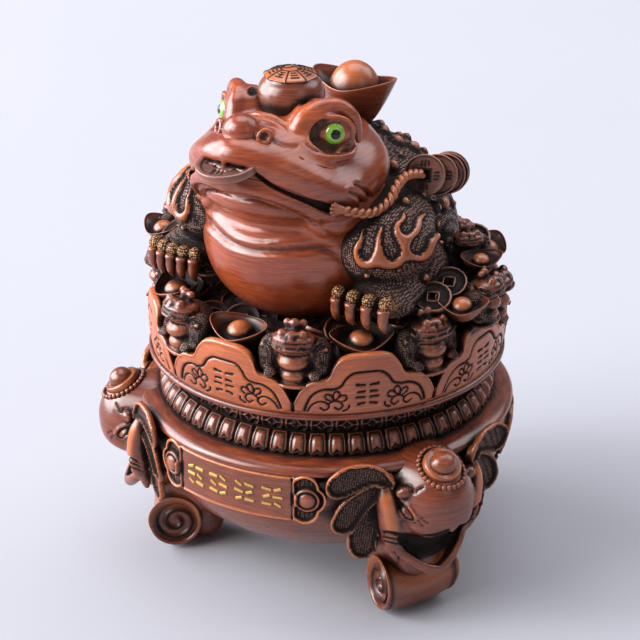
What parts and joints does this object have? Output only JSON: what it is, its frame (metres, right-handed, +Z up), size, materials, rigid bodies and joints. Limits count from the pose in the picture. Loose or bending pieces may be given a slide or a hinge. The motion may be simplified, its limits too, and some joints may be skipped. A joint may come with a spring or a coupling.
{
  "type": "money toad figure",
  "caption": "Cast money toad with glass eyes and a coin in its mouth, seated on a round tray of ingots and small toads, on a bowl-shaped stand with elephant-head feet.",
  "frame": {"origin": "on the floor under the middle of the part's outer box", "axes": "+Z up, -Y towards the front, which the plaque on the stand faces, +X to the toad's left"},
  "size_m": [0.2212, 0.2292, 0.2813],
  "materials": {
    "bronze_brown_resin": "satin red-brown cast resin with dark recesses and rubbed orange edges",
    "green_glass": "polished yellow-green glass bead with a dark pupil",
    "old_coin_resin": "satin dark brown, rubbed lighter on its rim"
  },
  "bodies": {
    "root": {"elephant_stand": "bronze_brown_resin", "toad_on_tray": "bronze_brown_resin", "left_glass_eye": "green_glass", "right_glass_eye": "green_glass", "mouth_coin": "old_coin_resin"}
  },
  "joints": []
}
